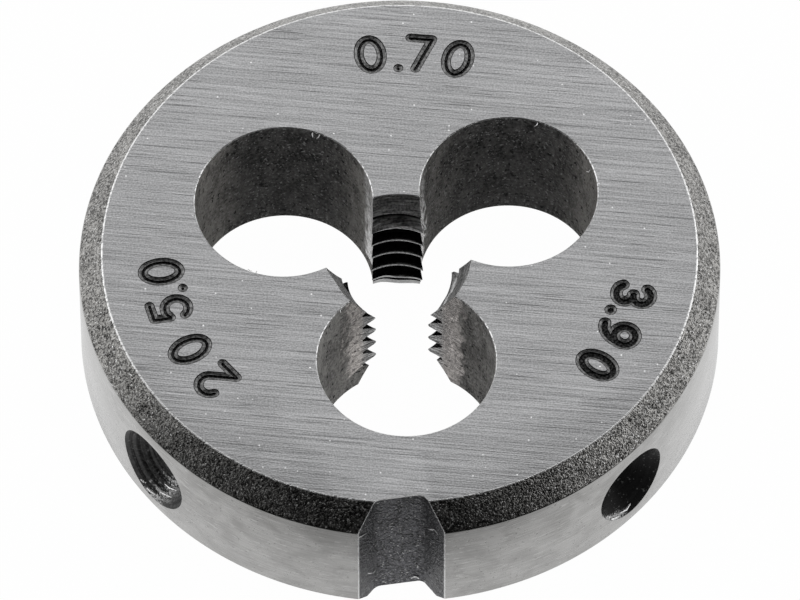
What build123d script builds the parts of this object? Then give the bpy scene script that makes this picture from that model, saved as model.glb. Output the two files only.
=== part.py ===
"""Round threading die, M4 x 0.7, 20 mm across and 5 mm thick.

The die is one piece of hardened steel. Three chip holes meet a threaded bore and leave three
lands between them, and each land carries a comb of cutting teeth. A notch down the rim is
where the die can be split and set, and two conical dimples take the screws of the die stock.

Origin: axis of the bore, on the back face. +Z runs along the bore to the front face, which
has the wide rim chamfer. The notch faces -Y. Lengths are in millimetres, angles in degrees,
and angles around the bore are counted from +X towards +Y.
"""

import os
from math import ceil, radians, sin, tan

from build123d import *

# Blank
OUTER_DIAMETER = 20.0
THICKNESS = 5.0
FRONT_CHAMFER_HEIGHT = 0.8
FRONT_CHAMFER_WIDTH = 0.73
BACK_CHAMFER = 0.4

# Thread, right-handed, with the 60 degree metric profile
THREAD_DIAMETER = 4.0
THREAD_PITCH = 0.7
THREAD_ANGLE = 60.0
THREAD_DEPTH_SHARE = 5 / 8
THREAD_ROOT_FLAT_SHARE = 1 / 8
THREAD_START_ANGLE = 93.0

# Lead-in cone at each end of the thread
LEAD_IN_MARGIN = 0.25
LEAD_IN_HALF_ANGLE = 25.0

# Chip holes, and the narrowest width of the land between two of them
CHIP_HOLE_COUNT = 3
CHIP_HOLE_DIAMETER = 5.56
LAND_WIDTH = 1.47
CHIP_HOLE_TURN = 3.1

# Notch in the rim
NOTCH_ANGLE = -90.0
NOTCH_DEPTH = 0.93
NOTCH_FLOOR_WIDTH = 1.44
NOTCH_FLANK_ANGLE = 37.0
NOTCH_FLOOR_LEAN = 8.7
NOTCH_CORNER_RADIUS = 0.15

# Dimples for the stock's screws, placed around the rim from the notch
DIMPLE_CONE_ANGLE = 90.0
DIMPLE_DROP = 0.25
LEFT_DIMPLE_ANGLE = -50.5
LEFT_DIMPLE_DEPTH = 1.5
RIGHT_DIMPLE_ANGLE = 46.4
RIGHT_DIMPLE_DEPTH = 1.42

# How far each cutting body runs past the face that it cuts
RUN_OUT = 0.5

# How much of the step from one land to the next a tooth gap's cutter spans, and how far it
# reaches inwards past the teeth, in shares of their depth
LAND_SPAN_SHARE = 0.9
GAP_OPENING_SHARE = 1 / 4
GAP_REACH_SHARE = 1 / 2

# Worked out from the sizes above
OUTER_RADIUS = OUTER_DIAMETER / 2
THREAD_FLANK = radians(THREAD_ANGLE / 2)
THREAD_SHARP_HEIGHT = THREAD_PITCH / 2 / tan(THREAD_FLANK)
THREAD_DEPTH = THREAD_DEPTH_SHARE * THREAD_SHARP_HEIGHT
THREAD_CREST_RADIUS = THREAD_DIAMETER / 2 - THREAD_DEPTH
THREAD_ROOT_HALF_WIDTH = THREAD_ROOT_FLAT_SHARE * THREAD_PITCH / 2
LEAD_IN_RADIUS = THREAD_DIAMETER / 2 + LEAD_IN_MARGIN
CHIP_HOLE_STEP = 360 / CHIP_HOLE_COUNT
CHIP_HOLE_OFFSET = (CHIP_HOLE_DIAMETER + LAND_WIDTH) / 2 / sin(radians(CHIP_HOLE_STEP / 2))
CHIP_HOLE_ANGLES = [
    NOTCH_ANGLE + CHIP_HOLE_TURN + CHIP_HOLE_STEP * index for index in range(CHIP_HOLE_COUNT)
]
LAND_ANGLES = [angle + CHIP_HOLE_STEP / 2 for angle in CHIP_HOLE_ANGLES]
LAND_SPAN = LAND_SPAN_SHARE * CHIP_HOLE_STEP


def around(angle, radius=0.0, height=0.0):
    """A place at this angle around the bore, with its own X axis pointing outwards."""
    return Rot(0, 0, angle) * Pos(radius, 0, height)


def blank():
    """The disc, turned from its half section with both rim chamfers."""
    section = Polyline(
        (0, 0),
        (OUTER_RADIUS - BACK_CHAMFER, 0),
        (OUTER_RADIUS, BACK_CHAMFER),
        (OUTER_RADIUS, THICKNESS - FRONT_CHAMFER_HEIGHT),
        (OUTER_RADIUS - FRONT_CHAMFER_WIDTH, THICKNESS),
        (0, THICKNESS),
        close=True,
    )
    return revolve(Plane.XZ * make_face(section), Axis.Z)


def through_cut(radius):
    """A round bar that runs right through the die and past both faces."""
    length = THICKNESS + 2 * RUN_OUT
    return Pos(0, 0, THICKNESS / 2) * Cylinder(radius, length)


def chip_holes():
    """The round holes around the bore."""
    hole = through_cut(CHIP_HOLE_DIAMETER / 2)
    return [around(angle, CHIP_HOLE_OFFSET) * hole for angle in CHIP_HOLE_ANGLES]


def lead_in():
    """The cone that opens the back end of the bore, run out past the face."""
    slope = tan(radians(LEAD_IN_HALF_ANGLE))
    mouth_radius = LEAD_IN_RADIUS + RUN_OUT * slope
    length = mouth_radius / slope
    return Pos(0, 0, length / 2 - RUN_OUT) * Cone(mouth_radius, 0, length)


def lead_ins():
    """The same cone at both ends of the bore."""
    back = lead_in()
    front = Pos(0, 0, THICKNESS) * Rot(180, 0, 0) * lead_in()
    return [back, front]


def tooth_gap():
    """The gap between two teeth: a short stretch of the thread's groove, centred on +X."""
    root_radius = THREAD_DIAMETER / 2
    open_radius = THREAD_CREST_RADIUS - GAP_OPENING_SHARE * THREAD_DEPTH
    inner_radius = THREAD_CREST_RADIUS - GAP_REACH_SHARE * THREAD_DEPTH
    open_half_width = THREAD_ROOT_HALF_WIDTH + (root_radius - open_radius) * tan(THREAD_FLANK)
    section = Polyline(
        (inner_radius, -open_half_width),
        (open_radius, -open_half_width),
        (root_radius, -THREAD_ROOT_HALF_WIDTH),
        (root_radius, THREAD_ROOT_HALF_WIDTH),
        (open_radius, open_half_width),
        (inner_radius, open_half_width),
        close=True,
    )
    rise = THREAD_PITCH * LAND_SPAN / 360
    path = Helix(THREAD_PITCH, rise, THREAD_CREST_RADIUS)
    groove = sweep(Plane.XZ * make_face(section), path=path, is_frenet=True)
    return around(-LAND_SPAN / 2, height=-rise / 2) * groove


def tooth_gaps():
    """Every gap of the thread, land by land, each land a part of a turn on from the last."""
    gap = tooth_gap()
    rows = ceil(THICKNESS / THREAD_PITCH) + 1
    gaps = []
    for angle in LAND_ANGLES:
        lowest = (angle - THREAD_START_ANGLE) / 360 * THREAD_PITCH % THREAD_PITCH - THREAD_PITCH
        heights = [lowest + THREAD_PITCH * row for row in range(rows + 1)]
        gaps += [around(angle, height=height) * gap for height in heights]
    return gaps


def notch():
    """The notch in the rim: a leaning floor between two flanks, with rounded corners."""
    flank = tan(radians(NOTCH_FLANK_ANGLE))
    lean = tan(radians(NOTCH_FLOOR_LEAN))
    floor = OUTER_RADIUS - NOTCH_DEPTH
    mouth = OUTER_RADIUS + RUN_OUT
    half = NOTCH_FLOOR_WIDTH / 2
    shallow = floor + half * lean
    deep = floor - half * lean
    section = Polyline(
        (deep, half),
        (mouth, half + (mouth - deep) * flank),
        (mouth, -half - (mouth - shallow) * flank),
        (shallow, -half),
        close=True,
    )
    corners = make_face(section)
    inner = corners.vertices().sort_by(Axis.X)[:2]
    rounded = fillet(inner, NOTCH_CORNER_RADIUS)
    cut = extrude(rounded, THICKNESS + 2 * RUN_OUT)
    return around(NOTCH_ANGLE, height=-RUN_OUT) * cut


def dimple(angle, depth):
    """A conical dimple in the rim, at this angle from the notch."""
    slope = tan(radians(DIMPLE_CONE_ANGLE / 2))
    length = depth + RUN_OUT
    tip = OUTER_RADIUS - depth
    cone = Pos(tip + length / 2, 0, 0) * Rot(0, 90, 0) * Cone(0, length * slope, length)
    return around(NOTCH_ANGLE + angle, height=THICKNESS / 2 - DIMPLE_DROP) * cone


def round_die():
    """The whole die."""
    body = blank() - through_cut(THREAD_CREST_RADIUS)
    cuts = chip_holes() + tooth_gaps() + lead_ins() + [notch()]
    cuts.append(dimple(LEFT_DIMPLE_ANGLE, LEFT_DIMPLE_DEPTH))
    cuts.append(dimple(RIGHT_DIMPLE_ANGLE, RIGHT_DIMPLE_DEPTH))
    for cut in cuts:
        body -= cut
    return body


os.makedirs("parts", exist_ok=True)
export_step(round_die(), "parts/round_die.step")
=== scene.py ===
"""Looks of the round threading die: the cut and ground body, its finishes and a plain studio.

The body is shaped in millimetres, cut by cut, as it is made in the workshop, and brought to metres
at the end. Angles around the bore are counted from +X towards +Y. The notch faces -Y and the front
face is up.
"""

import math

import bpy
from mathutils import Matrix, Vector


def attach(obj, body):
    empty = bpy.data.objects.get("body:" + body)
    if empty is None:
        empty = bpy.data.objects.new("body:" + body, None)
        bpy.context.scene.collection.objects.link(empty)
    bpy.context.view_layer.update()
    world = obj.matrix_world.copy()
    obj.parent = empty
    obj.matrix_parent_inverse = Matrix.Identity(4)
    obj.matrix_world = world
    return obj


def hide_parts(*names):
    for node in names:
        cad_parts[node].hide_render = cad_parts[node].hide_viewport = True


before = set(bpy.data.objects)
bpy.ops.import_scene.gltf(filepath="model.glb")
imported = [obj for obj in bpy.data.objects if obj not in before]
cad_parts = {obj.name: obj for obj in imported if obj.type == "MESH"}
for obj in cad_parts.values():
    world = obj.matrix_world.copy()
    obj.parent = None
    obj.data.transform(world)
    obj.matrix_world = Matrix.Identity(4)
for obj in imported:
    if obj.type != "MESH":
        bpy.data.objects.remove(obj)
bpy.context.view_layer.update()

MM = 0.001

# Blank
OUTER_RADIUS = 10.0
THICKNESS = 5.0
FRONT_CHAMFER_HEIGHT = 0.8
FRONT_CHAMFER_WIDTH = 0.73
BACK_CHAMFER = 0.4
EDGE_BREAK = 0.03
EDGE_STEPS = 2
RIM_STEPS = 256

# Thread
THREAD_RADIUS = 2.0
THREAD_PITCH = 0.7
THREAD_START_ANGLE = 93.0
THREAD_STEPS = 120
CREST_ROUNDING = 0.083
CREST_STEPS = 3
SHARP_HEIGHT = THREAD_PITCH / 2 / math.tan(math.radians(30))
THREAD_DEPTH = 5 / 8 * SHARP_HEIGHT
CREST_RADIUS = THREAD_RADIUS - THREAD_DEPTH
ROOT_HALF_WIDTH = THREAD_PITCH / 16
MOUTH_HALF_WIDTH = THREAD_PITCH * 3 / 8

# Lead-in cones, ground by hand: the mouth's radius at these angles around the bore, land by land
LEAD_IN_HALF_ANGLE = 25.0
LEAD_IN_RADIUS = 2.25
LEAD_IN_STEPS = 96
FRONT_MOUTH = (
    (70, 2.12), (90, 2.1), (110, 2.13),
    (190, 2.38), (210, 2.28), (230, 2.38),
    (312, 2.42), (330, 2.3), (350, 2.25),
)
BACK_MOUTH = (
    (70, 2.13), (90, 2.06), (110, 2.2),
    (190, 2.2), (210, 2.17), (230, 2.16),
    (312, 2.29), (330, 2.26), (350, 2.24),
)

# Chip holes
CHIP_HOLE_COUNT = 3
CHIP_HOLE_RADIUS = 2.78
LAND_WIDTH = 1.47
CHIP_HOLE_OFFSET = (CHIP_HOLE_RADIUS + LAND_WIDTH / 2) / math.sin(math.pi / CHIP_HOLE_COUNT)
CHIP_HOLE_STEP = 360 / CHIP_HOLE_COUNT
CHIP_HOLE_STEPS = 160

# Notch
NOTCH_ANGLE = -90.0
NOTCH_DEPTH = 0.93
NOTCH_HALF_FLOOR = 0.72
NOTCH_FLANK_ANGLE = 37.0
NOTCH_FLOOR_LEAN = 8.7
NOTCH_CORNER_RADIUS = 0.15
NOTCH_CORNER_STEPS = 5
CHIP_HOLE_TURN = 3.1
FIRST_CHIP_HOLE = NOTCH_ANGLE + CHIP_HOLE_TURN

# Dimples, drilled a little under the middle. Left and right: angle from the notch, and depth
DIMPLE_DROP = 0.25
DIMPLE_HEIGHT = THICKNESS / 2 - DIMPLE_DROP
DIMPLES = ((-50.5, 1.5), (46.4, 1.42))
DIMPLE_STEPS = 96
DRILL_RINGS = 9
DRILL_RIDGE = 0.012

# Stamped figures: angle around the bore and the figure, read clockwise with their tops outwards
FIGURE_CIRCLE = 7.45
FINE_STAMP = {"half_width": 0.15, "half_floor": 0.04, "height": 1.15, "depth": 0.1}
BOLD_STAMP = {"half_width": 0.19, "half_floor": 0.09, "height": 1.08, "depth": 0.1}
FINE_FIGURES = (
    (97.2, "0"),
    (90.4, "."),
    (85.2, "7"),
    (75.9, "0"),
    (220.2, "2"),
    (209.4, "0"),
    (197.0, "5"),
    (191.6, "."),
    (186.0, "0"),
)
BOLD_FIGURES = (
    (-12.6, "3"),
    (-18.4, "."),
    (-24.2, "9"),
    (-34.6, "0"),
)

# A groove's steep floor edge and its dark outline. Its curves have a point every few degrees
FLOOR_INSET = 0.005
FLOOR_FLARE = 0.01
OUTLINE_HALF_WIDTH = 0.015
OUTLINE_DEPTH = 0.02
OUTLINE_RISE = 0.004
ARC_STEP = 12

# A groove's round end is a little smaller and turned, so that no two cuts share a surface
INSIDE = 0.985
GROOVE_END_TURN = 4.1
GROOVE_END_STEPS = 24

# Burrs: a strand's points on the die, and its thickness. Its ends are only this share as thick
BURR_TIP = 0.4
BURRS = (
    (((-1.39, -9.84, 3.92), (-1.28, -9.87, 3.94), (-1.18, -9.78, 3.85), (-1.0, -9.54, 3.66)), 0.07),
    (((0.92, -9.22, 3.36), (1.02, -9.35, 3.6), (1.1, -9.46, 3.77), (1.22, -9.62, 3.66)), 0.08),
    (((-0.98, -9.52, 1.3), (-0.9, -9.4, 1.12), (-0.8, -9.29, 1.0), (-0.73, -9.22, 1.07)), 0.06),
    (((0.36, -9.01, 0.2), (0.48, -8.99, 0.28), (0.56, -8.98, 0.24), (0.6, -8.97, 0.1)), 0.08),
    (((-8.06, -5.85, 0.94), (-7.96, -5.92, 0.93), (-7.87, -5.97, 0.93)), 0.1),
    (((-7.86, -6.09, 0.83), (-7.71, -6.23, 0.83), (-7.58, -6.36, 0.85)), 0.12),
    (((-7.29, -6.18, 1.2), (-7.14, -6.37, 1.27), (-6.92, -6.6, 1.47)), 0.08),
    (((-7.45, -6.33, 0.98), (-7.24, -6.52, 1.09), (-7.08, -6.69, 1.22)), 0.07),
    (((6.83, -7.15, 1.04), (7.04, -6.96, 0.94), (7.19, -6.74, 0.98)), 0.09),
    (((6.57, -7.5, 1.25), (6.68, -7.38, 1.11), (6.8, -7.26, 1.02)), 0.09),
    (((-2.7, 4.52, 4.96), (-2.74, 4.42, 4.93), (-2.72, 4.3, 4.95)), 0.05),
    (((-2.48, 4.44, 4.96), (-2.54, 4.3, 4.95), (-2.62, 4.26, 4.9)), 0.04),
    (((-4.56, -0.86, 4.96), (-4.62, -0.72, 4.95), (-4.72, -0.64, 4.94)), 0.05),
    (((-4.4, -0.92, 4.96), (-4.47, -0.8, 4.95), (-4.44, -0.7, 4.92)), 0.04),
    (((4.34, 4.92, 4.96), (4.3, 4.78, 4.93), (4.22, 4.7, 4.94)), 0.05),
    (((5.97, 3.1, 4.96), (5.9, 3.0, 4.93), (5.84, 3.04, 4.9)), 0.04),
    (((-1.82, -2.28, 4.96), (-1.84, -2.16, 4.95), (-1.76, -2.1, 4.93)), 0.04),
    (((0.7, 1.7, 3.98), (0.78, 1.62, 3.92), (0.8, 1.6, 3.84), (0.72, 1.6, 3.76)), 0.1),
)

# How far each cutting body runs past the face that it cuts, and how near two points count as one
RUN_OUT = 0.5
DOUBLES = 5e-5

# The grinding scratches run nearly along X
SCRATCH_TURN = 5.5

# Faces that meet at less than this angle look like one round face
SMOOTH_ANGLE = 24


# ---------------------------------------------------------------- finishes


class Value:
    """An output in a finish's node tree, with the arithmetic that the finishes use."""

    def __init__(self, finish, socket):
        self.finish = finish
        self.socket = socket

    def maths(self, operation, first, second):
        return self.finish.node("ShaderNodeMath", {"operation": operation}, {0: first, 1: second})

    def __add__(self, other):
        return self.maths("ADD", self, other)

    def __radd__(self, other):
        return self.maths("ADD", other, self)

    def __sub__(self, other):
        return self.maths("SUBTRACT", self, other)

    def __rsub__(self, other):
        return self.maths("SUBTRACT", other, self)

    def __mul__(self, other):
        return self.maths("MULTIPLY", self, other)

    def __rmul__(self, other):
        return self.maths("MULTIPLY", other, self)

    def larger(self, other):
        return self.maths("MAXIMUM", self, other)

    def ramp(self, low, high, start=0.0, end=1.0):
        """Goes smoothly from start to end while this value goes from low to high."""
        sockets = {"Value": self, "From Min": low, "From Max": high, "To Min": start, "To Max": end}
        return self.finish.node("ShaderNodeMapRange", {"interpolation_type": "SMOOTHSTEP"}, sockets)


class Finish:
    """One finish of the steel, as a node material on Object coordinates."""

    def __init__(self, name, owner=None):
        self.material = owner or bpy.data.materials.new(name)
        self.material.use_nodes = True
        self.tree = self.material.node_tree
        self.tree.nodes.clear()

    def node(self, kind, settings=None, sockets=None, output=0):
        """Adds a node, applies its settings, then fills its sockets with values or links."""
        made = self.tree.nodes.new(kind)
        for name, value in (settings or {}).items():
            setattr(made, name, value)
        for name, value in (sockets or {}).items():
            if isinstance(value, Value):
                self.tree.links.new(value.socket, made.inputs[name])
            else:
                made.inputs[name].default_value = value
        return None if output is None else Value(self, made.outputs[output])

    def place(self, turn=0.0, stretch=(1, 1, 1)):
        """Places on the die in millimetres, turned about the bore and then stretched."""
        where = self.node("ShaderNodeTexCoord", output="Object")
        turned = {"Vector": where, "Rotation": (0, 0, math.radians(turn)), "Scale": (1 / MM,) * 3}
        millimetres = self.node("ShaderNodeMapping", {}, turned)
        return self.node("ShaderNodeMapping", {}, {"Vector": millimetres, "Scale": stretch})

    def noise(self, size, turn=0.0, detail=2.0, roughness=0.5, distortion=0.0):
        """Noise whose grains are about this large, in millimetres along each axis."""
        sizes = size if isinstance(size, tuple) else (size,) * 3
        stretch = tuple(1 / length for length in sizes)
        sockets = {
            "Vector": self.place(turn, stretch),
            "Scale": 1.0,
            "Detail": detail,
            "Roughness": roughness,
            "Distortion": distortion,
        }
        return self.node("ShaderNodeTexNoise", {}, sockets)

    def specks(self, spacing, radius, share):
        """Small round specks: 1 on a speck and 0 between them. Only this share of cells has one."""
        where = self.place(0, (1 / spacing,) * 3)
        cells = {"Vector": where, "Scale": 1.0}
        distance = self.node("ShaderNodeTexVoronoi", {}, cells, "Distance")
        draw = self.node("ShaderNodeTexVoronoi", {}, cells, "Color")
        chosen = self.node("ShaderNodeSeparateColor", {}, {0: draw}).ramp(share - 0.01, share, 1, 0)
        return distance.ramp(radius / spacing * 0.5, radius / spacing, 1, 0) * chosen

    def axis(self, letter):
        """The place along one axis, in millimetres."""
        return self.node("ShaderNodeSeparateXYZ", {}, {0: self.place()}, letter)

    def bore_distance(self):
        """How far from the bore's axis, in millimetres."""
        flat = self.place(0, (1, 1, 0))
        return self.node("ShaderNodeVectorMath", {"operation": "LENGTH"}, {0: flat}, "Value")

    def skin_height(self):
        """How high above the blank's turned skin, in millimetres: 0 on it and less inside."""
        radius = self.bore_distance()
        height = self.axis("Z")
        slant = math.hypot(FRONT_CHAMFER_HEIGHT, FRONT_CHAMFER_WIDTH)
        outward = (radius - (OUTER_RADIUS - FRONT_CHAMFER_WIDTH)) * (FRONT_CHAMFER_HEIGHT / slant)
        upward = (height - THICKNESS) * (FRONT_CHAMFER_WIDTH / slant)
        return (radius - OUTER_RADIUS).larger(height - THICKNESS).larger(outward + upward)

    def tint(self, share, low, high):
        """A colour from low to high. Each may be a grey number, a colour or another value."""
        ends = []
        for part in (low, high):
            if isinstance(part, (int, float)):
                part = (part,) * 3
            ends.append((*part, 1) if isinstance(part, tuple) else part)
        settings = {"data_type": "RGBA", "clamp_factor": True}
        return self.node("ShaderNodeMix", settings, {0: share, 6: ends[0], 7: ends[1]}, 2)

    def steel(self, colour, roughness, bumps, relief, bare=1.0, shine=0.5):
        """Closes the finish as steel, bare or scaled. Bumps of 1 stand out by relief millimetres."""
        raised = {"Height": bumps, "Distance": relief * MM}
        sockets = {
            "Base Color": colour,
            "Roughness": roughness,
            "Metallic": bare,
            "Specular IOR Level": shine,
            "Normal": self.node("ShaderNodeBump", {}, raised),
        }
        shader = self.node("ShaderNodeBsdfPrincipled", {}, sockets)
        self.node("ShaderNodeOutputMaterial", {}, {"Surface": shader}, None)
        return self.material


def ground_face():
    """Both faces: fine straight grinding scratches across the die, with grain and bright specks."""
    finish = Finish("ground_face")
    fine = finish.noise((4.2, 0.042, 1.0), turn=SCRATCH_TURN, detail=1).ramp(0.34, 0.66)
    middle = finish.noise((7.0, 0.1, 1.0), turn=SCRATCH_TURN + 0.8, detail=2).ramp(0.36, 0.64)
    broad = finish.noise((9.0, 1.6, 2.0), turn=SCRATCH_TURN)
    dark = finish.noise((3.0, 0.04, 1.0), turn=SCRATCH_TURN - 0.6, detail=1).ramp(0.66, 0.72)
    light = finish.noise((1.8, 0.036, 1.3), turn=SCRATCH_TURN + 2.2, detail=1).ramp(0.68, 0.74)
    grain = finish.noise((0.06, 0.05, 0.05), detail=1).ramp(0.36, 0.64)
    specks = finish.specks(spacing=0.36, radius=0.038, share=0.45)
    streaks = fine * 0.45 + middle * 0.22 + grain * 0.33
    level = streaks * 0.85 + broad * 0.15 - dark * 0.5 + light * 0.5
    colour = finish.tint(level, (0.205, 0.206, 0.209), (0.64, 0.641, 0.65))
    bright = finish.tint(specks, colour, 0.98)
    return finish.steel(bright, 0.34 + fine * 0.12, streaks - dark * 0.6, relief=0.006)


def ground_rim():
    """The ground outer wall: smooth, with faint blotches, light flecks and small pits."""
    finish = Finish("ground_rim")
    blotches = finish.noise((0.9, 0.9, 0.7), detail=4, distortion=0.5).ramp(0.3, 0.7)
    pits = finish.noise((0.09, 0.09, 0.09), detail=1).ramp(0.68, 0.76)
    flecks = finish.noise((0.4, 0.4, 0.07), detail=2).ramp(0.6, 0.7)
    scores = finish.noise((1.4, 1.4, 0.06), detail=2).ramp(0.36, 0.64)
    level = blotches * 0.6 + scores * 0.25 + flecks * 0.6 - pits * 0.6
    # Painted shade: the wall is darker towards the notch and lighter on the far side, as the light
    # falls
    away = finish.axis("Y").ramp(-9.0, -3.5)
    shaded_near_notch = finish.tint(level, (0.26, 0.257, 0.251), (0.42, 0.417, 0.41))
    lit_far_side = finish.tint(level, (0.35, 0.348, 0.343), (0.52, 0.518, 0.512))
    colour = finish.tint(away, shaded_near_notch, lit_far_side)
    bumps = scores * 0.2 + flecks * 0.3 - pits
    return finish.steel(colour, 0.2 + blotches * 0.1, bumps, relief=0.005)


def bright_edge():
    """The broken edges, where bare metal shows: painted bright up to white as a highlight, and a
    little ragged.
    """
    finish = Finish("bright_edge")
    wear_and_highlight = finish.noise((0.1, 0.1, 0.1), detail=2).ramp(0.35, 0.5)
    return finish.steel(finish.tint(wear_and_highlight, 0.65, 1.0), 0.4, wear_and_highlight, relief=0.01)


def blasted(name, size, dark, light, glint, edge, front):
    """The rough skin of the chamfers and the notch: coarse grain and bright specks.

    Front is how light the skin stays under the painted shade near the notch. With edge 1 it is bare
    along the blank's skin and painted darker in its corners, as shade.
    """
    finish = Finish(name)
    grain = finish.noise(size, detail=2, roughness=0.6)
    fine = finish.noise(size / 2, detail=1)
    patches = finish.noise(size * 6, detail=3).ramp(0.35, 0.65)
    specks = finish.noise(size * 0.7, detail=1).ramp(0.62, 0.72)
    skin = finish.skin_height() + grain * 0.02
    bare = skin.ramp(-0.07, -0.03) * edge
    level = grain.ramp(0.37, 0.63) * 0.55 + patches * 0.2 + fine.ramp(0.35, 0.65) * 0.25
    forward = finish.axis("Y")
    across = finish.axis("X")
    # Painted shade: darker towards the notch and the left, a little darker towards the back, and
    # darker in the notch's corners
    beside = across.larger(across * -1).ramp(0.42, 0.78) * edge
    shade = (forward + across * 0.27).ramp(-9.6, -5.5, front, 1)
    shade = shade * forward.ramp(-4.0, 0.5, 1, 0.84) * (1 - beside * 0.3)
    colour = finish.tint(shade, 0.0, finish.tint(level, dark, light))
    # The bright specks are painted glints, dimmed where shade is painted
    spotted = finish.tint(specks * shade, colour, glint)
    bumps = grain + fine * 0.5 + specks * 0.3
    return finish.steel(finish.tint(bare, spotted, 0.7), 0.3 + fine * 0.15, bumps, relief=0.05)


def chip_wall():
    """The chip holes: a dark pitted wall, ground brighter where it meets the teeth."""
    finish = Finish("chip_wall")
    grain = finish.noise((0.09, 0.09, 0.13), detail=3, roughness=0.6).ramp(0.35, 0.65)
    patches = finish.noise((0.5, 0.5, 0.9), detail=3).ramp(0.35, 0.65)
    edge = finish.noise((0.25, 0.25, 0.5), detail=3)
    marks = finish.noise((0.5, 0.5, 0.035), detail=2, distortion=0.4).ramp(0.38, 0.62)
    pits = finish.noise((0.17, 0.17, 0.17), detail=2).ramp(0.62, 0.69)
    glints = finish.noise((0.09, 0.09, 0.1), detail=1).ramp(0.63, 0.7)
    height = finish.axis("Z")
    radius = finish.bore_distance()
    across = finish.axis("X")

    # Painted light and shade: behind the bore the wall is painted dark with lighter sides, lighter
    # low down. In front it is painted lighter, most on the left lobe and away from the bore
    depth = height.ramp(4.6, 0.6)
    behind = finish.axis("Y").ramp(0.4, 1.6)
    aside = across.larger(across * -1) - 3.5
    shaded = across.ramp(0.2, 0.6) * across.ramp(1.8, 3.2, 1, 0)
    flank = (aside * aside + edge).ramp(1.6, 6.5) * behind * (1 - shaded * 0.45)
    away = radius.ramp(3.2, 5.0) * (1 - behind)
    left_lobe = (1 - behind) * across.ramp(-1, 1, 1, 0)
    # Painted light lifts the mottled scale level on the sides, in front and on the left lobe, and
    # low down behind the bore
    painted_lift = flank * 0.3 + away * 0.25 + (1 - behind) * 0.15 + left_lobe * 0.15
    scale = grain * 0.45 + patches * 0.35 + depth * behind * 0.15 + painted_lift
    scale = scale - pits * (0.6 + behind * 0.4)
    front = finish.tint(left_lobe, (0.42, 0.411, 0.397), (0.49, 0.48, 0.463))
    rear = finish.tint(flank, (0.18, 0.178, 0.174), (0.38, 0.366, 0.346))
    dull = finish.tint(scale, 0.002, finish.tint(behind, front, rear))
    # Light flecks, painted as glints
    dark = finish.tint(glints * 0.5, dull, 0.6)

    # The ground strip beside the teeth. On the left it ends under the last tooth
    ground = (radius + edge * 1.3 - behind * 0.5).ramp(3.0, 3.5, 1, 0)
    under = (height + radius * 0.48 + edge * 0.1).ramp(1.9, 2.0) + across.ramp(-0.1, 0.1)
    tooth = radius.ramp(1.85, 2.15, 1, 0)
    streaks = grain * 0.45 + marks * 0.35 + patches * 0.2 - pits * 0.6
    # In front the strip has painted light, stronger on the left lobe
    lit = finish.tint(left_lobe, (0.5, 0.468, 0.45), (0.68, 0.64, 0.61))
    light = finish.tint(streaks, (0.12, 0.11, 0.105), finish.tint(behind, lit, 0.98))
    worn = finish.tint(marks, 0.03, 0.5)
    bare = ground * under
    colour = finish.tint(bare, dark, finish.tint(tooth, light, worn))
    bumps = grain * 0.7 + marks * 0.3 - pits
    metal = (0.22 - behind * 0.12 + flank * 0.05 + left_lobe * 0.08).larger(bare)
    return finish.steel(colour, 0.6 - bare * 0.2, bumps, relief=0.04, bare=metal, shine=0.06)


def teeth():
    """The cut thread: dark flanks, thin bright crests and a torn first turn."""
    finish = Finish("teeth")
    marks = finish.noise((0.3, 0.3, 0.03), detail=2)
    grain = finish.noise((0.08, 0.08, 0.08), detail=3).ramp(0.35, 0.65)
    torn_marks = finish.noise((0.5, 0.5, 0.05), detail=3, distortion=0.5).ramp(0.4, 0.62)
    radius = finish.bore_distance() + grain * 0.008
    first_turn = finish.axis("Z").ramp(3.66, 3.72)
    crest = radius.ramp(CREST_RADIUS + 0.001, CREST_RADIUS + 0.015, 1, 0) * (1 - first_turn)
    torn = first_turn * radius.ramp(1.88, 1.94, 1, 0)
    # Dark oxide on the flanks, painted near black as the shade between the teeth
    flank = finish.tint(grain, 0.004, 0.05)
    rough = finish.tint(torn_marks * 0.7 + grain * 0.3, 0.12, 0.9)
    worn = finish.tint(grain, 0.1, 0.55)
    colour = finish.tint(crest, finish.tint(torn, flank, rough), worn)
    return finish.steel(colour, 0.25 + torn * 0.35, marks + grain * 0.5, relief=0.008)


def ground_cone():
    """The lead-in cones: ground rough, with streaks around the bore."""
    finish = Finish("ground_cone")
    streaks = finish.noise((0.9, 0.9, 0.06), detail=2, distortion=0.3).ramp(0.42, 0.66)
    grain = finish.noise((0.07, 0.07, 0.07), detail=2).ramp(0.35, 0.65)
    colour = finish.tint(streaks * 0.6 + grain * 0.4, 0.14, 0.6)
    return finish.steel(colour, 0.55, streaks * 0.4 + grain * 0.6, relief=0.012)


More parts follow.
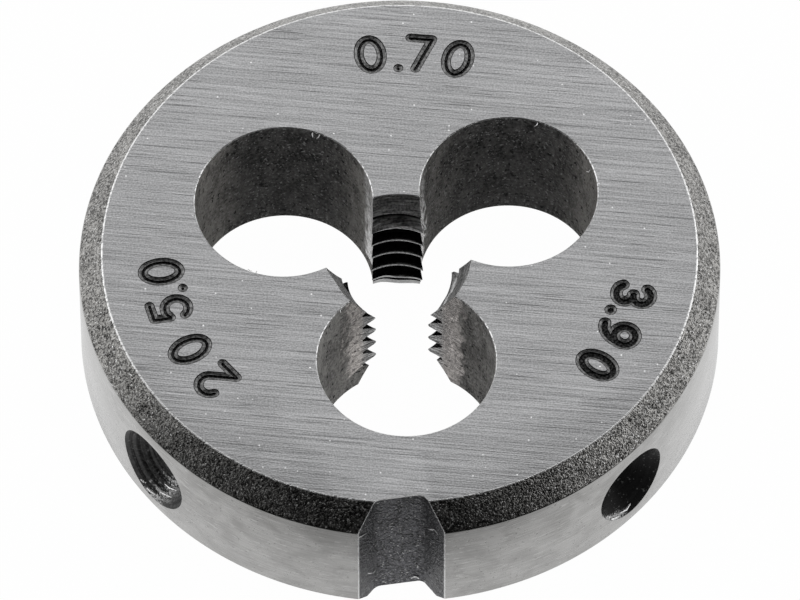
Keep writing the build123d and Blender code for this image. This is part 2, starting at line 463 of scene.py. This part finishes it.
def drilled():
    """The dimples: a dark drilled cone with fine rings. Each is worn rough at its lower end, painted
    light there.
    """
    finish = Finish("drilled")
    across = finish.axis("X")
    forward = finish.axis("Y")
    height = finish.axis("Z")
    sockets = {"W": finish.bore_distance(), "Scale": 7.0, "Detail": 2.0}
    rings = finish.node("ShaderNodeTexNoise", {"noise_dimensions": "1D"}, sockets).ramp(0.38, 0.66)
    grain = finish.noise((0.1, 0.1, 0.06), detail=3, roughness=0.6).ramp(0.4, 0.7)
    left = across.ramp(-1, 1, 1, 0)
    to_notch = across * 0.636 - forward * 0.772
    # Painted light: the worn rough lower end of each dimple, and the lower edge of the right one's
    # mouth, are painted light up to near white
    low_end = to_notch * 0.8 - height * 0.3 + grain * 0.4 + rings * 0.25
    left_worn_and_lit = low_end.ramp(-0.15, 0.2) * low_end.ramp(0.3, 0.55, 1, 0.06)
    skin = finish.skin_height() - height * 0.35 - across * 0.15 + grain * 0.1
    right_worn_and_lit = skin.ramp(-1.57, -1.49) * (across + grain * 0.4).ramp(6.9, 7.2, 1, 0)
    worn = left * left_worn_and_lit + (1 - left) * right_worn_and_lit
    # Painted sparks: small painted glints in the dark of the dimples
    painted_sparks = finish.noise((0.09, 0.09, 0.09), detail=1).ramp(0.64, 0.74) * 0.13
    dark = finish.tint(rings * 0.6 + grain * 0.4, 0.01, finish.tint(left, 0.015, 0.12))
    dark = finish.tint(painted_sparks, dark, 0.7)
    light = finish.tint(grain * 0.7 + rings * 0.3, 0.02, 0.98)
    colour = finish.tint(worn, dark, light)
    bumps = rings * (0.15 + left * 0.25) + grain * 0.6 * worn
    dull = 0.35 + grain * 0.1 + left * low_end.ramp(0.3, 0.5) * 0.4
    return finish.steel(colour, dull, bumps, relief=0.025, bare=0.2 + worn * 0.8, shine=0.04)


def stamp_side():
    """The flanks of the stamped figures: pressed steel, darker than the face."""
    finish = Finish("stamp_side")
    grain = finish.noise((0.09, 0.09, 0.09), detail=3).ramp(0.35, 0.65)
    colour = finish.tint(grain, 0.13, 0.34)
    return finish.steel(colour, 0.45, grain, relief=0.006)


def stamp_floor():
    """The bottom and the outline of the figures, black with scale."""
    finish = Finish("stamp_floor")
    grain = finish.noise((0.07, 0.07, 0.07), detail=3)
    colour = finish.tint(grain.ramp(0.4, 0.7), 0.006, 0.09)
    return finish.steel(colour, 0.6, grain, relief=0.01)


# ---------------------------------------------------------------- modelling helpers


def pick(shape):
    """Selects this shape alone, to be worked on next."""
    bpy.ops.object.select_all(action="DESELECT")
    shape.select_set(True)
    bpy.context.view_layer.objects.active = shape


def start_edit(shape):
    """Edit mode on this shape alone, with nothing selected."""
    pick(shape)
    bpy.ops.object.mode_set(mode="EDIT")
    bpy.ops.mesh.select_mode(type="VERT")
    bpy.ops.mesh.select_all(action="DESELECT")


def end_edit(outward=False):
    """Leaves edit mode, with every face pointing out of the shape if asked."""
    if outward:
        bpy.ops.mesh.select_all(action="SELECT")
        bpy.ops.mesh.normals_make_consistent(inside=False)
    bpy.ops.object.mode_set(mode="OBJECT")
    return bpy.context.active_object


def merge_doubles():
    """Makes one point of those that lie on each other, all over the shape in edit mode."""
    bpy.ops.mesh.select_all(action="SELECT")
    bpy.ops.mesh.remove_doubles(threshold=DOUBLES)


def draw_out(upward, scale=1.0):
    """Extrudes the selected face straight up or down, then widens it about the Z axis."""
    bpy.ops.mesh.extrude_region_move(TRANSFORM_OT_translate={"value": (0, 0, upward)})
    bpy.ops.transform.resize(value=(scale, scale, 1), center_override=(0, 0, 0))


def select(shape, kind, test):
    """Selects in edit mode the points or edges whose places pass the test, or the faces that do."""
    bpy.ops.mesh.select_mode(type=kind)
    bpy.ops.mesh.select_all(action="DESELECT")
    bpy.ops.object.mode_set(mode="OBJECT")
    points = shape.data.vertices
    if kind == "VERT":
        for point in points:
            point.select = test(point.co)
    if kind == "EDGE":
        for edge in shape.data.edges:
            edge.select = all(test(points[index].co) for index in edge.vertices)
    if kind == "FACE":
        for face in shape.data.polygons:
            face.select = test(face)
    bpy.ops.object.mode_set(mode="EDIT")


def near(value, target, margin=1e-4):
    """Says whether two lengths are the same, but for rounding."""
    return abs(value - target) < margin


def move(shape, *steps):
    """Moves a shape's mesh by these transforms, the last one first."""
    for step in reversed(steps):
        shape.data.transform(step)
    return shape


def place(shape, angle=0.0, radius=0.0, height=0.0):
    """Puts a shape made at the origin at this angle around the bore."""
    turn = Matrix.Rotation(math.radians(angle), 4, "Z")
    return move(shape, turn, Matrix.Translation((radius, 0, height)))


def coat(shape, *materials, choose=None):
    """Gives a shape its materials. With several, choose says which one a face takes."""
    shape.data.materials.clear()
    for material in materials:
        shape.data.materials.append(material)
    for face in shape.data.polygons:
        face.material_index = choose(face) if choose else 0
    return shape


def cut(body, *cutters, operation="DIFFERENCE"):
    """Cuts each shape out of the body, or joins it on. Its faces keep their own material."""
    for cutter in cutters:
        modifier = body.modifiers.new("cut", "BOOLEAN")
        modifier.operation = operation
        modifier.solver = "EXACT"
        modifier.material_mode = "TRANSFER"
        modifier.object = cutter
        pick(body)
        bpy.ops.object.modifier_apply(modifier=modifier.name)
        bpy.data.objects.remove(cutter)
        start_edit(body)
        merge_doubles()
        end_edit()


def wire(points, closed=False):
    """A bare run of edges through these points, drawn from one point by extruding it."""
    bpy.ops.mesh.primitive_plane_add(size=1, location=(0, 0, 0))
    shape = bpy.context.active_object
    start_edit(shape)
    bpy.ops.mesh.select_all(action="SELECT")
    bpy.ops.mesh.merge(type="CENTER")
    bpy.ops.transform.translate(value=points[0])
    run = list(points) + ([points[0]] if closed else [])
    for before, after in zip(run, run[1:]):
        step = [b - a for a, b in zip(before, after)]
        bpy.ops.mesh.extrude_vertices_move(TRANSFORM_OT_translate={"value": step})
    if closed:
        merge_doubles()
    return end_edit()


# ---------------------------------------------------------------- the blank and its cuts


def blank(face, chamfer, rim, edge):
    """The turned disc, with both rim chamfers and its edges broken."""
    wall_bottom = BACK_CHAMFER
    wall_top = THICKNESS - FRONT_CHAMFER_HEIGHT
    wall = wall_top - wall_bottom
    bpy.ops.mesh.primitive_cylinder_add(vertices=RIM_STEPS, radius=OUTER_RADIUS, depth=wall)
    shape = move(bpy.context.active_object, Matrix.Translation((0, 0, wall_bottom + wall / 2)))
    start_edit(shape)
    ends = (
        (1, FRONT_CHAMFER_HEIGHT, FRONT_CHAMFER_WIDTH),
        (-1, BACK_CHAMFER, BACK_CHAMFER),
    )
    for side, height, width in ends:
        select(shape, "FACE", lambda flat: flat.normal.z * side > 0.9)
        draw_out(side * height, (OUTER_RADIUS - width) / OUTER_RADIUS)
    for level in (0, wall_bottom, wall_top, THICKNESS):
        select(shape, "EDGE", lambda point: near(point.z, level))
        bpy.ops.mesh.bevel(offset=EDGE_BREAK, segments=EDGE_STEPS, affect="EDGES")
    end_edit(outward=True)

    def choose(flat):
        """Numbers the face, chamfer, rim and edge from 0 to 3."""
        height = flat.center.z
        if abs(flat.normal.z) > 0.99:
            return 0
        if min(abs(height), abs(height - THICKNESS)) < EDGE_BREAK:
            return 3
        if wall_bottom - EDGE_BREAK < height < wall_top + EDGE_BREAK:
            return 2
        return 1

    return coat(shape, face, chamfer, rim, edge, choose=choose)


def chip_hole(wall, edge):
    """A round bar through the die. It flares out at both faces, where it breaks the edge."""
    inner = THICKNESS / 2 - EDGE_BREAK
    bpy.ops.mesh.primitive_cylinder_add(
        vertices=CHIP_HOLE_STEPS,
        radius=CHIP_HOLE_RADIUS,
        depth=2 * inner,
    )
    shape = bpy.context.active_object
    start_edit(shape)
    run = EDGE_BREAK + RUN_OUT
    for side in (1, -1):
        select(shape, "FACE", lambda flat: flat.normal.z * side > 0.9)
        draw_out(side * run, (CHIP_HOLE_RADIUS + run) / CHIP_HOLE_RADIUS)
    end_edit(outward=True)
    coat(shape, wall, edge, choose=lambda flat: int(abs(flat.normal.z) > 0.1))
    return place(shape, height=THICKNESS / 2)


def thread(material):
    """The space inside the teeth: a bar with the metric profile, wound from one turn of it."""
    turns = math.ceil((THICKNESS + 2 * RUN_OUT) / THREAD_PITCH) + 2
    first = round((THICKNESS / THREAD_PITCH - turns) / 2) * THREAD_PITCH
    slope = MOUTH_HALF_WIDTH - ROOT_HALF_WIDTH
    crest = THREAD_PITCH - 2 * MOUTH_HALF_WIDTH
    steps = (
        (0, 2 * ROOT_HALF_WIDTH),
        (-THREAD_DEPTH, slope),
        (0, crest),
        (THREAD_DEPTH, slope),
    )
    points = [(THREAD_RADIUS, 0, first - ROOT_HALF_WIDTH)]
    for outward, upward in steps * turns:
        last = points[-1]
        points.append((last[0] + outward, 0, last[2] + upward))
    shape = wire(points)
    start_edit(shape)
    select(shape, "VERT", lambda point: near(point.x, CREST_RADIUS))
    bpy.ops.mesh.bevel(offset=CREST_ROUNDING, segments=CREST_STEPS, affect="VERTICES")
    end_edit()
    wind = shape.modifiers.new("wind", "SCREW")
    wind.axis = "Z"
    wind.angle = math.tau
    wind.screw_offset = THREAD_PITCH
    wind.steps = THREAD_STEPS
    wind.render_steps = THREAD_STEPS
    bpy.ops.object.modifier_apply(modifier=wind.name)
    start_edit(shape)
    merge_doubles()
    for _ in range(2):
        close_end(shape)
    end_edit(outward=True)
    return place(coat(shape, material), angle=THREAD_START_ANGLE)


def close_end(shape):
    """Closes the lowest open end of a wound shape, drawn in to its middle."""
    bpy.ops.mesh.select_mode(type="EDGE")
    bpy.ops.mesh.select_all(action="DESELECT")
    bpy.ops.mesh.select_non_manifold(
        use_wire=False,
        use_multi_face=False,
        use_non_contiguous=False,
        use_verts=False,
    )
    bpy.ops.object.mode_set(mode="OBJECT")
    points = shape.data.vertices
    rims = [edge for edge in shape.data.edges if edge.select]
    low = min(points[edge.vertices[0]].co.z for edge in rims)
    own = [edge for edge in rims if points[edge.vertices[0]].co.z < low + 2 * THREAD_PITCH]
    for item in (*rims, *points):
        item.select = False
    for edge in own:
        edge.select = True
        for index in edge.vertices:
            points[index].select = True
    bpy.ops.object.mode_set(mode="EDIT")
    bpy.ops.mesh.extrude_edges_move(TRANSFORM_OT_translate={"value": (0, 0, 0)})
    bpy.ops.mesh.merge(type="CENTER")


def mouth_outline(radii):
    """The outline of a lead-in's mouth: the radius changes smoothly from one angle to the next."""
    stops = [*radii, (radii[0][0] + 360, radii[0][1])]
    outline = []
    for index in range(LEAD_IN_STEPS):
        angle = radii[0][0] + 360 * (index + 0.5) / LEAD_IN_STEPS
        before, after = next(pair for pair in zip(stops, stops[1:]) if angle <= pair[1][0])
        share = (angle - before[0]) / (after[0] - before[0])
        radius = before[1] + (after[1] - before[1]) * (1 - math.cos(math.pi * share)) / 2
        turn = math.radians(angle)
        outline.append((radius * math.cos(turn), radius * math.sin(turn), 0))
    return outline


def lead_in(side, radii, material, edge):
    """The cone at one end of the thread: side 1 is at the front face and -1 at the back."""
    depth = LEAD_IN_RADIUS / math.tan(math.radians(LEAD_IN_HALF_ANGLE))
    run = EDGE_BREAK + RUN_OUT
    shape = wire(mouth_outline(radii), closed=True)
    start_edit(shape)
    bpy.ops.mesh.select_all(action="SELECT")
    bpy.ops.mesh.edge_face_add()
    draw_out(side * run, (LEAD_IN_RADIUS + run) / LEAD_IN_RADIUS)
    select(shape, "FACE", lambda flat: near(flat.center.z, 0))
    draw_out(-side * depth)
    bpy.ops.mesh.merge(type="CENTER")
    end_edit(outward=True)
    coat(shape, material, edge, choose=lambda flat: int(flat.center.z * side > 0.01))
    face_height = THICKNESS / 2 * (1 + side)
    return place(shape, height=face_height - side * EDGE_BREAK)


def notch(material):
    """The notch in the rim: a bar with a leaning floor, run right through the die."""
    flank = math.tan(math.radians(NOTCH_FLANK_ANGLE))
    lean = math.tan(math.radians(NOTCH_FLOOR_LEAN))
    floor = OUTER_RADIUS - NOTCH_DEPTH
    mouth = OUTER_RADIUS + RUN_OUT
    deep = floor - NOTCH_HALF_FLOOR * lean
    shallow = floor + NOTCH_HALF_FLOOR * lean
    corners = (
        (deep, NOTCH_HALF_FLOOR, -RUN_OUT),
        (mouth, NOTCH_HALF_FLOOR + (mouth - deep) * flank, -RUN_OUT),
        (mouth, -NOTCH_HALF_FLOOR - (mouth - shallow) * flank, -RUN_OUT),
        (shallow, -NOTCH_HALF_FLOOR, -RUN_OUT),
    )
    shape = wire(corners, closed=True)
    start_edit(shape)
    bpy.ops.mesh.select_all(action="SELECT")
    bpy.ops.mesh.edge_face_add()
    select(shape, "VERT", lambda point: point.x < mouth - RUN_OUT)
    bpy.ops.mesh.bevel(offset=NOTCH_CORNER_RADIUS, segments=NOTCH_CORNER_STEPS, affect="VERTICES")
    bpy.ops.mesh.select_all(action="SELECT")
    draw_out(THICKNESS + 2 * RUN_OUT)
    end_edit(outward=True)
    return place(coat(shape, material), angle=NOTCH_ANGLE)


def dimple(angle, depth, material):
    """A drilled dimple: a cone drawn out ring by ring, with the ridges that the drill left."""
    length = depth + RUN_OUT
    step = length / DRILL_RINGS
    bpy.ops.mesh.primitive_cone_add(vertices=DIMPLE_STEPS, radius1=0, radius2=step, depth=step)
    shape = move(bpy.context.active_object, Matrix.Translation((0, 0, step / 2)))
    start_edit(shape)
    select(shape, "FACE", lambda flat: flat.normal.z > 0.9)
    radius = step
    for ring in range(1, DRILL_RINGS):
        for share, ridge in ((0.5, DRILL_RIDGE), (1, 0)):
            wide = (ring + share) * step + ridge
            draw_out(step / 2, wide / radius)
            radius = wide
    end_edit(outward=True)
    laid = Matrix.Rotation(math.pi / 2, 4, "Y")
    move(shape, Matrix.Translation((OUTER_RADIUS - depth, 0, 0)), laid)
    return place(coat(shape, material), angle=NOTCH_ANGLE + angle, height=DIMPLE_HEIGHT)


def burr(points, thickness, material):
    """A curl of metal left by a cutter: a thin strand along these points, narrower at its ends."""
    shape = wire(points)
    pick(shape)
    bpy.ops.object.convert(target="CURVE")
    shape.data.bevel_depth = thickness / 2
    shape.data.bevel_resolution = 1
    shape.data.use_fill_caps = True
    strand = shape.data.splines[0].points
    for point in (strand[0], strand[-1]):
        point.radius = BURR_TIP
    bpy.ops.object.convert(target="MESH")
    start_edit(shape)
    merge_doubles()
    end_edit(outward=True)
    return coat(shape, material)


# ---------------------------------------------------------------- the stamped figures


def arc(centre, size, start, end, closed=False):
    """Points along an arc of an ellipse, from one angle to another."""
    count = max(4, round(abs(end - start) / ARC_STEP))
    share = count if closed else count - 1
    angles = [math.radians(start + (end - start) * index / share) for index in range(count)]
    return [
        (centre[0] + size[0] * math.cos(angle), centre[1] + size[1] * math.sin(angle), 0)
        for angle in angles
    ]


def figure_strokes(figure):
    """The strokes of one figure, one high and centred on the origin, and which of them close."""
    strokes = {
        "0": [(arc((0, 0), (0.31, 0.5), 0, 360, True), True)],
        "2": [
            (arc((0, 0.2), (0.3, 0.3), 165, -32) + [(-0.3, -0.5, 0)], False),
            ([(-0.3, -0.5, 0), (0.3, -0.5, 0)], False),
        ],
        "3": [
            (arc((-0.01, 0.25), (0.27, 0.25), 155, -90), False),
            (arc((-0.01, -0.25), (0.29, 0.25), 100, -155), False),
        ],
        "5": [
            ([(0.26, 0.5, 0), (-0.2, 0.5, 0)], False),
            ([(-0.2, 0.5, 0), (-0.26, 0.05, 0)], False),
            (arc((-0.01, -0.18), (0.31, 0.32), 137, -150), False),
        ],
        "7": [
            ([(-0.3, 0.5, 0), (0.3, 0.5, 0)], False),
            ([(0.3, 0.5, 0), (-0.08, -0.5, 0)], False),
        ],
        "9": [
            (arc((0, 0.19), (0.3, 0.31), 0, 360, True), True),
            (arc((-0.21, 0.14), (0.49, 0.64), 0, -86), False),
        ],
        ".": [],
    }
    return strokes[figure]


def groove_section(stamp):
    """Half of a stamped groove's section: dark outline, pressed side, then the narrow floor."""
    wide = stamp["half_width"]
    narrow = stamp["half_floor"]
    depth = stamp["depth"]
    return (
        (0, -depth),
        (narrow - FLOOR_INSET, -depth),
        (narrow + FLOOR_FLARE, -depth / 2),
        (wide - OUTLINE_HALF_WIDTH, -OUTLINE_DEPTH),
        (wide + OUTLINE_HALF_WIDTH, OUTLINE_RISE),
        (wide + OUTLINE_HALF_WIDTH, RUN_OUT),
        (0, RUN_OUT),
    )


def groove_face(stamp):
    """Tells the pressed sides of a groove's cutter, between its floor and its outline."""
    return lambda face: int(-stamp["depth"] / 2 < face.center.z < -OUTLINE_DEPTH)


def groove_end(stamp):
    """The round end of a groove, spun from its section."""
    shape = wire([(across, 0, high) for across, high in groove_section(stamp)])
    start_edit(shape)
    bpy.ops.mesh.select_all(action="SELECT")
    bpy.ops.mesh.spin(
        steps=GROOVE_END_STEPS,
        angle=math.tau,
        center=(0, 0, 0),
        axis=(0, 0, 1),
    )
    merge_doubles()
    end_edit(outward=True)
    turn = Matrix.Rotation(math.radians(GROOVE_END_TURN), 4, "Z")
    return move(shape, turn, Matrix.Scale(INSIDE, 4))


def groove_run(points, closed, stamp):
    """A stretch of groove along these points."""
    half = groove_section(stamp)[1:-1]
    section = [(across, high, 0) for across, high in half]
    section += [(-across, high, 0) for across, high in reversed(half)]
    rod = wire(section, closed=True)
    path = wire(points, closed)
    for shape in (rod, path):
        pick(shape)
        bpy.ops.object.convert(target="CURVE")
    path.data.dimensions = "2D"
    path.data.fill_mode = "NONE"
    path.data.bevel_mode = "OBJECT"
    path.data.bevel_object = rod
    path.data.use_fill_caps = True
    bpy.ops.object.convert(target="MESH")
    bpy.data.objects.remove(rod)
    start_edit(path)
    merge_doubles()
    return end_edit(outward=True)


def figure_cutters(angle, figure, stamp, materials):
    """The cutters of one figure, at its place on the front face: its strokes and their ends."""
    high = stamp["height"]
    apart = stamp["half_width"] / 2
    grooves = []
    ends = []
    for points, closed in figure_strokes(figure):
        run = [Vector((across * high, up * high, 0)) for across, up, _ in points]
        grooves.append(groove_run(run, closed, stamp))
        for end in (run[0], run[-1]):
            if not closed and all((end - other).length > apart for other in ends):
                ends.append(end)
    if not grooves:
        ends.append(Vector((0, -high / 2, 0)))
    grooves += [move(groove_end(stamp), Matrix.Translation(end)) for end in ends]
    for groove in grooves:
        coat(groove, *materials, choose=groove_face(stamp))
        move(groove, Matrix.Rotation(-math.pi / 2, 4, "Z"))
        place(groove, angle, FIGURE_CIRCLE, THICKNESS)
    return grooves


# ---------------------------------------------------------------- the die


def threading_die():
    """The whole die, cut in the order that keeps each cut light."""
    face = ground_face()
    edge = bright_edge()
    rough = blasted(
        "blasted_chamfer",
        size=0.1,
        dark=(0.02, 0.0195, 0.0185),
        light=(0.63, 0.62, 0.6),
        glint=0.98,
        edge=0,
        front=0.33,
    )
    scaled = blasted(
        "scaled_notch",
        size=0.11,
        dark=(0.0, 0.0, 0.0),
        light=(0.135, 0.136, 0.147),
        glint=0.45,
        edge=1,
        front=1,
    )
    wall = chip_wall()
    tooth = teeth()
    cone = ground_cone()
    hollow = drilled()
    body = blank(face, rough, ground_rim(), edge)
    stamps = (stamp_floor(), stamp_side())
    for index in range(CHIP_HOLE_COUNT):
        angle = FIRST_CHIP_HOLE + CHIP_HOLE_STEP * index
        cut(body, place(chip_hole(wall, edge), angle, CHIP_HOLE_OFFSET))
    cut(body, thread(tooth))
    cut(body, lead_in(1, FRONT_MOUTH, cone, edge), lead_in(-1, BACK_MOUTH, cone, edge))
    cut(body, notch(scaled))
    for angle, depth in DIMPLES:
        cut(body, dimple(angle, depth, hollow))
    for figures, stamp in ((FINE_FIGURES, FINE_STAMP), (BOLD_FIGURES, BOLD_STAMP)):
        for angle, figure in figures:
            cut(body, *figure_cutters(angle, figure, stamp, stamps))
    for points, thickness in BURRS:
        cut(body, burr(points, thickness, edge), operation="UNION")
    return body


def finish_die(die):
    """Brings the die to metres, smooths its round faces and ties it to the model."""
    die.name = "threading_die"
    move(die, Matrix.Scale(MM, 4))
    pick(die)
    bpy.ops.object.shade_smooth_by_angle(angle=math.radians(SMOOTH_ANGLE))
    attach(die, "root")
    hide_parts("round_die")


finish_die(threading_die())


# ---------------------------------------------------------------- studio

# Camera: lens, sensor and place in millimetres, angles in degrees, clip distances in metres. Its
# place is to the right, up and back from its target on the bore's axis, as the camera sees them
CAMERA_LENS = 640.4
CAMERA_SENSOR = 36
CAMERA_SHIFT = (0.0061, 0.0017)
CAMERA_ELEVATION = 56.78
CAMERA_ROLL = -0.19
CAMERA_AZIMUTH = 0.26
CAMERA_PLACE = (-0.1436, 0.9514, 446.78)
CAMERA_TARGET_HEIGHT = 0.395
CAMERA_CLIP = (0.01, 20)

# Floor: size in metres, drop in millimetres, how white it is, how much of it glows, and between
# which places on Y, in millimetres, its reflection fades towards the front
FLOOR_SIZE = 3.0
FLOOR_DROP = 0.02
FLOOR_GREY = 0.9
FLOOR_GLOW = 0.985
FLOOR_FADE = (-19, -9)

# Tent: the way to its dark opening and the half-angles of the opening's soft edge. The levels are
# how bright steel sees the opening and the tent. The fill is what lights dull surfaces
OPENING = (0, -0.85, 0.55)
OPENING_OUTER = 86
OPENING_INNER = 65
OPENING_LEVEL = 0.01
TENT_LEVEL = 0.65
TENT_FILL = 0.5

# Softboxes: the way to each from the die, its distance and size in metres, and its brightness
SOFTBOXES = (
    ((0, 0.55, 0.84), 0.6, 0.6, 0.45),
    ((1, 0.4, 0.25), 0.6, 0.5, 0.9),
    ((-1, 0.4, 0.25), 0.6, 0.5, 0.9),
)


def add_camera():
    """The camera: far away with a long lens, looking down on the die from the notch's side."""
    tilt = math.radians(CAMERA_ELEVATION)
    roll = math.radians(CAMERA_ROLL)
    back = Vector((0, -math.cos(tilt), math.sin(tilt)))
    right = Vector((1, 0, 0))
    up = back.cross(right)
    side, rise, distance = CAMERA_PLACE
    place_mm = right * side + up * rise + back * distance + Vector((0, 0, CAMERA_TARGET_HEIGHT))
    turned_right = math.cos(roll) * right + math.sin(roll) * up
    turned_up = -math.sin(roll) * right + math.cos(roll) * up
    axes = Matrix((turned_right, turned_up, back)).transposed().to_4x4()
    lens = bpy.data.cameras.new("camera")
    lens.sensor_width = CAMERA_SENSOR
    lens.lens = CAMERA_LENS
    lens.shift_x, lens.shift_y = CAMERA_SHIFT
    lens.clip_start, lens.clip_end = CAMERA_CLIP
    camera = bpy.data.objects.new("camera", lens)
    bpy.context.scene.collection.objects.link(camera)
    turn = Matrix.Rotation(math.radians(CAMERA_AZIMUTH), 4, "Z")
    camera.matrix_world = turn @ Matrix.Translation(place_mm * MM) @ axes
    bpy.context.scene.camera = camera


def add_softbox(direction, distance, size, brightness):
    """A square softbox that faces the die. A brightness of 1 looks white."""
    lamp = bpy.data.lights.new("softbox", "AREA")
    lamp.size = size
    lamp.energy = brightness * math.pi * size * size
    away = Vector(direction).normalized()
    holder = bpy.data.objects.new("softbox", lamp)
    bpy.context.scene.collection.objects.link(holder)
    turn = away.to_track_quat("Z", "Y").to_matrix().to_4x4()
    holder.matrix_world = Matrix.Translation(away * distance) @ turn


def seen_rays(finish):
    """1 for the rays that see the background: the camera's, off metal and through glass."""
    names = ("Is Camera Ray", "Is Glossy Ray", "Is Transmission Ray")
    camera, glossy, through = (finish.node("ShaderNodeLightPath", output=name) for name in names)
    return camera.larger(glossy).larger(through)


def add_floor():
    """A white floor that keeps a soft shadow. From below it can be seen through."""
    bpy.ops.mesh.primitive_plane_add(size=FLOOR_SIZE, location=(0, 0, 0))
    floor = bpy.context.active_object
    floor.name = "floor"
    move(floor, Matrix.Translation((0, 0, -FLOOR_DROP * MM)))
    finish = Finish("white_floor")
    card = finish.node("ShaderNodeBsdfDiffuse", {}, {"Color": (FLOOR_GREY,) * 3 + (1,)})
    glow = finish.node("ShaderNodeEmission", {}, {"Color": (1, 1, 1, 1), "Strength": 1.0})
    white_share = seen_rays(finish) * FLOOR_GLOW
    white = finish.node("ShaderNodeMixShader", {}, {0: white_share, 1: card, 2: glow})
    black = finish.node("ShaderNodeEmission", {}, {"Color": (0, 0, 0, 1), "Strength": 0.0})
    glossy = finish.node("ShaderNodeLightPath", output="Is Glossy Ray")
    in_front = glossy * finish.axis("Y").ramp(*FLOOR_FADE, 1, 0)
    faded = finish.node("ShaderNodeMixShader", {}, {0: in_front, 1: white, 2: black})
    clear = finish.node("ShaderNodeBsdfTransparent")
    under = finish.node("ShaderNodeNewGeometry", output="Backfacing")
    both = finish.node("ShaderNodeMixShader", {}, {0: under, 1: faded, 2: clear})
    finish.node("ShaderNodeOutputMaterial", {}, {"Surface": both}, None)
    floor.data.materials.append(finish.material)


def add_surroundings():
    """A white tent around the die, with a dark opening where the camera stands."""
    world = bpy.data.worlds.new("tent")
    bpy.context.scene.world = world
    finish = Finish("tent", world)
    way = finish.node("ShaderNodeTexCoord", output="Generated")
    opening = {0: way, 1: Vector(OPENING).normalized()}
    facing = finish.node("ShaderNodeVectorMath", {"operation": "DOT_PRODUCT"}, opening, "Value")
    outer, inner = (math.cos(math.radians(angle)) for angle in (OPENING_OUTER, OPENING_INNER))
    tent = facing.ramp(outer, inner, TENT_LEVEL, OPENING_LEVEL)
    camera = finish.node("ShaderNodeLightPath", output="Is Camera Ray")
    glossy = finish.node("ShaderNodeLightPath", output="Is Glossy Ray")
    level = camera + (1 - camera) * (glossy * tent + (1 - glossy) * TENT_FILL)
    light = finish.node("ShaderNodeBackground", {}, {"Color": (1, 1, 1, 1), "Strength": level})
    finish.node("ShaderNodeOutputWorld", {}, {"Surface": light}, None)


add_camera()
for softbox in SOFTBOXES:
    add_softbox(*softbox)
add_floor()
add_surroundings()
bpy.context.scene.view_settings.view_transform = "Standard"

bpy.context.view_layer.update()
